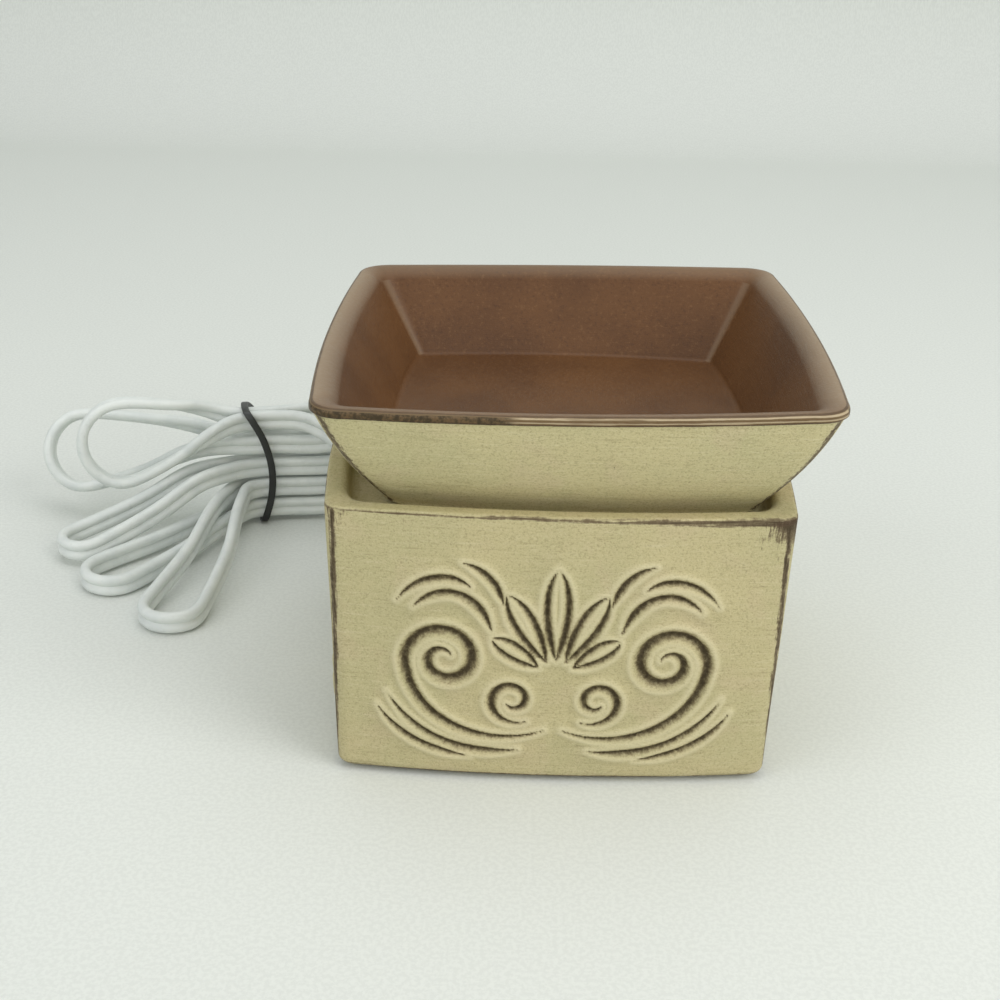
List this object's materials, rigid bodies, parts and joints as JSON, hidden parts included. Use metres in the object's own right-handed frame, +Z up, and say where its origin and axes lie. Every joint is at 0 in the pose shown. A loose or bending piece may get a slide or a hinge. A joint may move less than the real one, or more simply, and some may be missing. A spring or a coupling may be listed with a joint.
{
  "type": "electric wax warmer",
  "caption": "Electric wax warmer: square ceramic vessel lit and heated by a screw-in lamp, a lift-off flared square wax dish, and a flat cord with rotary switch and plug in a tied hank.",
  "frame": {"origin": "on the surface the warmer stands on, under the middle of the wax dish", "axes": "+Z up, -Y is the front seen in the picture, +X to the viewer's right"},
  "size_m": [0.2547, 0.2089, 0.1031],
  "materials": {
    "cream_glaze": "matte crackled glaze with a brown wash in the hollows",
    "brown_glaze": "satin brown glaze",
    "white_plastic": "moulded, slightly glossy",
    "white_cord": "soft satin sheath",
    "dark_moulding": "moulded, dark",
    "grey_rubber": "matte",
    "brass": "rolled sheet",
    "steel": "plain",
    "clear_glass": "clear"
  },
  "bodies": {
    "vessel": {"base_vessel": "cream_glaze", "foot_pad_front_left": "grey_rubber", "foot_pad_front_right": "grey_rubber", "foot_pad_back_left": "grey_rubber", "foot_pad_back_right": "grey_rubber", "socket_shell": "dark_moulding", "socket_gasket": "grey_rubber", "socket_ring_nut": "dark_moulding", "socket_screw_shell": "brass", "socket_center_contact": "brass", "supply_cord_inside": "white_cord", "cord_strain_relief": "white_plastic", "cord_lead": "white_cord", "switch_lower_case": "white_plastic", "switch_upper_case": "white_plastic", "switch_axle_pin": "steel", "switch_contact_in": "brass", "switch_contact_out": "brass", "switch_screw_1": "steel", "switch_screw_2": "steel", "cord_switch_to_hank": "white_cord", "cord_hank": "white_cord", "hank_tie": "dark_moulding", "plug_body": "white_plastic", "plug_blade_narrow": "brass", "plug_blade_wide": "brass"},
    "dish": {"wax_dish": "brown_glaze"},
    "lamp_foot": {"bulb_foot_contact": "steel"},
    "lamp": {"bulb_glass": "clear_glass", "bulb_screw_shell": "brass", "bulb_insulator": "dark_moulding", "bulb_stem": "clear_glass", "bulb_lead_left": "steel", "bulb_lead_right": "steel", "bulb_filament": "steel"},
    "thumb_wheel": {"switch_wheel": "white_plastic"}
  },
  "joints": [
    {"name": "dish_lift", "type": "slide", "parent": "vessel", "child": "dish", "axis": [0, 0, 1], "range_m": [0, 0.06]},
    {"name": "lamp_rise", "type": "slide", "parent": "vessel", "child": "lamp_foot", "axis": [0, 0, 1], "range_m": [0, 0.00762]},
    {"name": "lamp_turn", "type": "hinge", "parent": "lamp_foot", "child": "lamp", "pos_m": [-0.0029, 0, 0.0104], "axis": [0, 0, 1], "range_deg": [0, 1080]},
    {"name": "wheel_turn", "type": "hinge", "parent": "vessel", "child": "thumb_wheel", "pos_m": [0.024, 0.133, 0.008], "axis": [0, 0, 1], "continuous": true}
  ],
  "couplings": [
    {"joint": "lamp_rise", "follows": "lamp_turn", "m_per_rad": 0.00040425}
  ]
}
